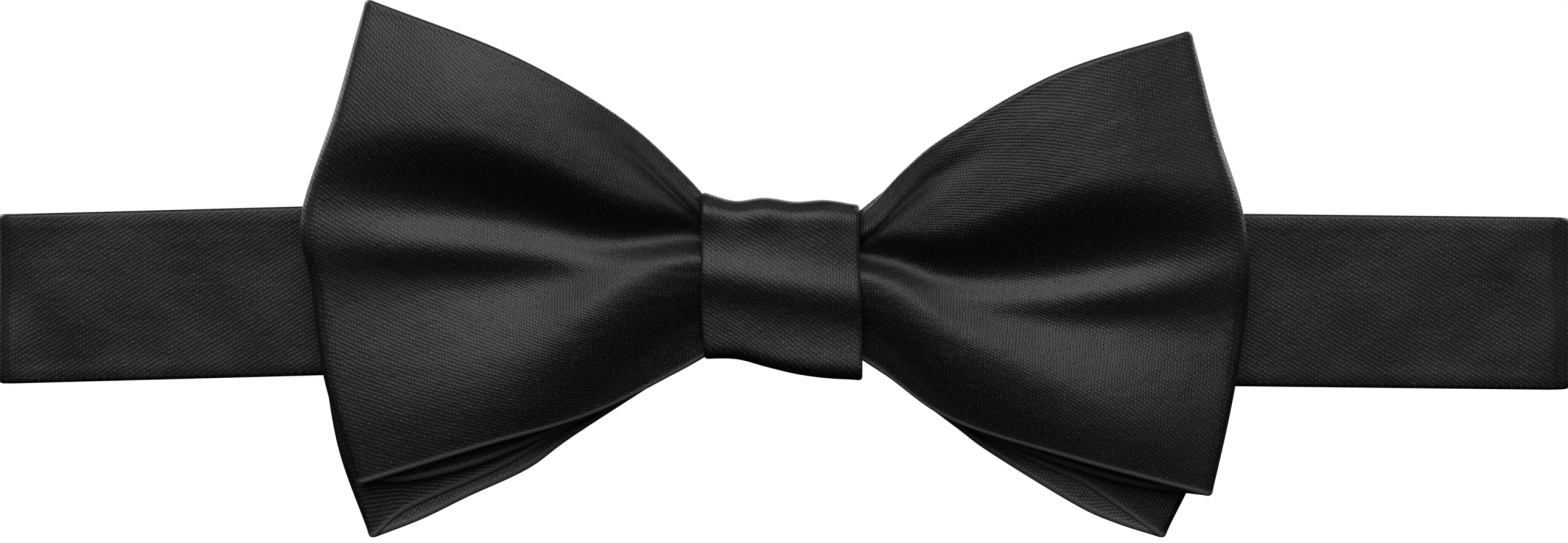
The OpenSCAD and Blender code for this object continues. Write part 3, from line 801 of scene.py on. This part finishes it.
TAPER = 12 * MM          # the band narrows to the strap's width over this length
LEFT_NEAR_Z = 0.75 * MM  # the band's middle height beside the knot
RIGHT_NEAR_Z = -1.35 * MM
LEFT_END_Z = BAND_Z + 0.45 * MM
RIGHT_END_Z = BAND_Z - 0.15 * MM
RIGHT_WIDER = 0.4 * MM   # how much wider the band is in view at the right
RIGHT_LONGER = 1.0 * MM  # how much further out its fold reaches there
GATHERED_H = 17.6 * MM   # the band's width inside the knot
GATHER_FROM = 9 * MM     # its distance from the middle where it starts to spread
GATHER_RUN = 9 * MM
FRONT_START = 0.4 * MM
FRONT_STEPS = 60
BEND_STEPS = 14
TURN_STEPS = 12
HEM_STEPS = 8


def end_height(s, start_z):
    """Middle height and height of an end of the band, at distance s from its fold."""
    share = smooth(s / TAPER)
    return start_z * (1 - share), BAND_H + (STRAP_H - BAND_H) * share


def front_height(x):
    """Middle height and height of the band's front, at x."""
    share = min(1.0, abs(x) / abs(left_hinge.x))
    spread = smooth((abs(x) - GATHER_FROM) / GATHER_RUN)
    near, far, extra = LEFT_NEAR_Z, LEFT_END_Z, 0.0
    if x > 0:
        near, far, extra = RIGHT_NEAR_Z, RIGHT_END_Z, RIGHT_WIDER
    middle = (near + (far - near) * share) * spread
    return middle, GATHERED_H + (BAND_H + extra - GATHERED_H) * spread


def front_route(side, hinge):
    route = []
    for x in np.linspace(FRONT_START, abs(hinge.x), FRONT_STEPS):
        middle, height = front_height(side * x)
        route.append((side * x, BAND_MID_Y, middle, height))
    return route


def fold_route(side, hinge):
    start = -math.pi / 2
    stop = -1.5 * math.pi + TILT
    reach = FOLD_R + (RIGHT_LONGER if side > 0 else 0)
    middle, height = front_height(hinge.x)
    route = []
    for a in np.linspace(start, stop, BEND_STEPS)[1:-1]:
        x = hinge.x - side * reach * math.cos(a)
        share = smooth((a - start) / (stop - start))
        route.append((x, hinge.y + FOLD_R * math.sin(a), middle, height + (BAND_H - height) * share))
    return route


def end_route(hinge, along, out, distances):
    start_z = LEFT_END_Z if hinge.x < 0 else RIGHT_END_Z
    route = []
    for s in distances:
        p = hinge + along * s + out * FOLD_R
        route.append((p.x, p.y, *end_height(s, start_z)))
    return route


def turn_route(centre, along, out, radius, first, last):
    """Half a turn of the strap round a bar. Angles are measured from out, towards along."""
    route = []
    for a in np.linspace(first, last, TURN_STEPS):
        p = centre + radius * (math.cos(a) * out + math.sin(a) * along)
        route.append((p.x, p.y, 0.0, STRAP_H))
    return route


def straight_route(a, b, count):
    return [(*(a + (b - a) * t).xy, 0.0, STRAP_H) for t in np.linspace(0, 1, count)]


# Distances whose names end in _s or _S are measured along an end of the band, from its fold.
HEM_LEN = 9 * MM
HEM_SLOPE = 3 * MM       # the turned end slopes back to the strap over this length
HEM_GAP = 0.02 * MM
TURN_GAP = 0.2           # angle left out at one end of a turn, where the cloth eases out of it

eye_s = (eye_bar - left_hinge).dot(LEFT_ALONG)
eye_turn_r = FOLD_R - (eye_bar - left_hinge).dot(LEFT_OUT)
left_route = front_route(-1, left_hinge) + fold_route(-1, left_hinge)
left_route += end_route(left_hinge, LEFT_ALONG, LEFT_OUT, np.linspace(0, eye_s, 70))
left_route += turn_route(eye_bar, LEFT_ALONG, LEFT_OUT, eye_turn_r, TURN_GAP, math.pi)
hem_face = FOLD_R - BAND_T - HEM_GAP
hem_start = left_hinge + LEFT_ALONG * (eye_s - HEM_SLOPE) + LEFT_OUT * hem_face
hem_end = left_hinge + LEFT_ALONG * (eye_s - HEM_LEN) + LEFT_OUT * hem_face
left_route += straight_route(hem_start, hem_end, HEM_STEPS)
left_band = strip("left_band", left_route, BAND_H, waves=WAVES)

SEAM_S = 14 * MM         # where the strap is sewn to the right end of the band
STRAND_START = SEAM_S + 2 * MM
right_route = front_route(1, right_hinge) + fold_route(1, right_hinge)
right_route += end_route(right_hinge, RIGHT_ALONG, RIGHT_OUT, np.linspace(0, STRAND_START, 14))
right_band = strip("right_band", right_route, BAND_H, waves=WAVES)

hook_s = (hook_bar - right_hinge).dot(RIGHT_ALONG)
slider_s = (slider_mid - right_hinge).dot(RIGHT_ALONG)
strand_route = end_route(right_hinge, RIGHT_ALONG, RIGHT_OUT, np.linspace(STRAND_START, hook_s, 60))
strand = strip("strap_strand", strand_route, STRAP_H)

hook_turn_r = FOLD_R - (hook_bar - right_hinge).dot(RIGHT_OUT)
slider_out = (slider_mid - right_hinge).dot(RIGHT_OUT)
return_out = (hook_bar - right_hinge).dot(RIGHT_OUT) - hook_turn_r
slider_turn_r = slider_out - return_out
return_route = turn_route(hook_bar, RIGHT_ALONG, RIGHT_OUT, hook_turn_r, 0, math.pi)
slider_tail = right_hinge + RIGHT_ALONG * slider_s + RIGHT_OUT * return_out
turn_tail = right_hinge + RIGHT_ALONG * hook_s + RIGHT_OUT * return_out
return_route += straight_route(turn_tail, slider_tail, 24)[1:]
return_route += turn_route(slider_mid, -RIGHT_ALONG, -RIGHT_OUT, slider_turn_r, 0, math.pi - TURN_GAP)[1:]
slider_face = return_out + BAND_T + HEM_GAP
slider_hem_start = right_hinge + RIGHT_ALONG * (slider_s + HEM_SLOPE) + RIGHT_OUT * slider_face
slider_hem_end = right_hinge + RIGHT_ALONG * (slider_s + HEM_LEN) + RIGHT_OUT * slider_face
return_route += straight_route(slider_hem_start, slider_hem_end, HEM_STEPS)
return_strap = strip("return_strap", return_route, STRAP_H)


def mean_height(route):
    return float(np.mean([r[3] for r in route]))


for piece, route, width in ((left_band, left_route, mean_height(left_route)),
                            (right_band, right_route, mean_height(right_route)),
                            (return_strap, return_route, STRAP_H)):
    dress(piece, SATIN)
dress(strand, SATIN)

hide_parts("front_band_satin", "front_band_interlining", "left_fold_satin",
            "left_fold_interlining", "left_band_satin", "left_band_interlining", "eye_hem")
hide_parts("right_fold_satin", "right_fold_interlining")
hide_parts("right_band_satin", "right_band_interlining", "feed_band")
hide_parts("return_band", "slider_hem", "hook_turn")

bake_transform(left_band)
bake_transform(right_band)
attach(strand, "right_end")
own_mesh(strand)
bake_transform(return_strap)

# ---- The care label ----
label_low, label_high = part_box("care_label")
LABEL_T = 0.25 * MM
LABEL_STEPS = 25
LABEL_LIFT = 0.35 * MM   # how far its two ends curl off the band
LABEL_DIP = 0.1 * MM     # how far its middle lies closer to the band
label_mid = (label_low + label_high) / 2
label_half = (label_high.x - label_low.x - LABEL_T * math.sin(TILT)) / math.cos(TILT) / 2
label_h = label_high.z - label_low.z
label_route = []
for t in np.linspace(-1, 1, LABEL_STEPS):
    lift = LABEL_LIFT * smooth(abs(t) * 4 - 3) - LABEL_DIP * (1 - t * t)
    p = label_mid + LEFT_ALONG * (t * label_half) - LEFT_OUT * lift
    label_route.append((p.x, p.y, 0.0, label_h))
label = strip("care_label_sheet", label_route, label_h, thickness=LABEL_T)
dress(label, LABEL)
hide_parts("care_label")
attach(label, "left_end")

# ---- The hardware ----
SHARP = math.radians(40)     # a bend above this is an edge
FLAT = math.radians(1)       # and one below this is none


def eased(node, name, width):
    """A new piece with a metal part's shape and its sharp edges rounded over, as enamel leaves them."""
    bm = bmesh.new()
    bm.from_mesh(frame["nodes"][node].data)
    bmesh.ops.remove_doubles(bm, verts=bm.verts, dist=0.002 * MM)
    bmesh.ops.dissolve_limit(bm, angle_limit=FLAT, verts=bm.verts, edges=bm.edges)
    sharp = [edge for edge in bm.edges if edge.calc_face_angle(0) > SHARP]
    bmesh.ops.bevel(bm, geom=sharp, offset=width, segments=4, profile=0.5, affect="EDGES",
                    clamp_overlap=True)
    bmesh.ops.recalc_face_normals(bm, faces=bm.faces)
    mesh = bpy.data.meshes.new(name)
    bm.to_mesh(mesh)
    bm.free()
    mesh.shade_smooth()
    mesh.set_sharp_from_angle(angle=SHARP)
    return add_object(name, mesh)


# Each metal part's node, piece and body, and how wide its edges are rounded.
METAL = (("eye", "enamelled_eye", "eye", 0.3 * MM),
         ("hook", "enamelled_hook", "hook", 0.3 * MM),
         ("slider_frame", "enamelled_slider", "adjuster", 0.25 * MM),
         ("slider_bar", "slider_pin", "adjuster", 0.12 * MM))
for node, name, body, width in METAL:
    piece = eased(node, name, width)
    dress(piece, ENAMEL)
    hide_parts(node)
    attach(piece, body)

# ---- Materials of the frame's own nodes ----
for name in ("eye_hem_stitches", "care_label_stitches", "slider_hem_stitches"):
    node = frame["nodes"][name]
    node.data.materials.clear()
    node.data.materials.append(THREAD)

# ---- Stage, lights and camera ----
FLOOR_Z = -0.09
FLOOR_R = 1.7


def stage():
    material, nodes, links, shader = new_material("pale_floor")
    place = nodes.new("ShaderNodeTexCoord")
    patches = noise(nodes, links, place.outputs["Object"], 3.0)
    tone = ramp(nodes, links, patches, [(0.3, (0.6, 0.6, 0.6)), (0.7, (0.64, 0.64, 0.64))])
    links.new(tone, shader.inputs["Base Color"])
    shader.inputs["Roughness"].default_value = 0.8
    shader.inputs["Emission Color"].default_value = (1, 1, 1, 1)
    shader.inputs["Emission Strength"].default_value = 0.3
    mesh = bpy.data.meshes.new("floor")
    bm = bmesh.new()
    bmesh.ops.create_circle(bm, cap_ends=True, segments=96, radius=FLOOR_R)
    bm.to_mesh(mesh)
    bm.free()
    floor = add_object("floor", mesh)
    floor.location = (0, 0, FLOOR_Z)
    mesh.materials.append(material)
    floor.visible_diffuse = False
    floor.visible_glossy = False


def area_light(name, place, size, power):
    """A soft light that points at the origin."""
    data = bpy.data.lights.new(name, "AREA")
    data.shape = "RECTANGLE"
    data.size, data.size_y = size
    data.energy = power
    light = add_object(name, data)
    light.location = place
    light.rotation_euler = (Vector() - Vector(place)).to_track_quat("-Z", "Y").to_euler()


# Name, place and size in metres, and power in watts.
LIGHTS = (("key", (-0.1, -1.25, 0.9), (1.5, 1.2), 22.5),
          ("top", (0.0, 0.1, 1.6), (1.6, 0.7), 2.2),
          ("front", (0.0, -1.7, 0.12), (0.9, 0.35), 0.8),
          ("left_rim", (-1.4, -0.55, 0.35), (0.5, 1.0), 1.8),
          ("right_rim", (1.4, -0.55, 0.35), (0.5, 1.0), 1.8),
          ("back_left", (-1.15, 1.0, 0.8), (1.1, 1.0), 15),
          ("back_right", (1.15, 1.0, 0.8), (1.1, 1.0), 15),
          ("back_low", (0.0, 1.6, 0.3), (1.4, 0.6), 6))

stage()
for light_row in LIGHTS:
    area_light(*light_row)

world = bpy.data.worlds.new("studio")
bpy.context.scene.world = world
world.use_nodes = True
world.node_tree.nodes["Background"].inputs["Color"].default_value = (1, 1, 1, 1)
world.node_tree.nodes["Background"].inputs["Strength"].default_value = 1.0
world.cycles_visibility.diffuse = False
world.cycles_visibility.glossy = False
bpy.context.scene.view_settings.view_transform = "Standard"

FRAME_W = 199.9 * MM     # width that the picture takes in at the front band
CAMERA_X = 0.47 * MM
CAMERA_Z = 1.63 * MM
camera_data = bpy.data.cameras.new("camera")
camera_data.lens = 200
camera_data.sensor_width = 36
camera_data.clip_end = 50
camera = add_object("camera", camera_data)
camera_y = BAND_MID_Y - FRAME_W * camera_data.lens / camera_data.sensor_width
camera.location = (CAMERA_X, camera_y, CAMERA_Z)
camera.rotation_euler = (math.radians(90), 0, 0)
bpy.context.scene.camera = camera
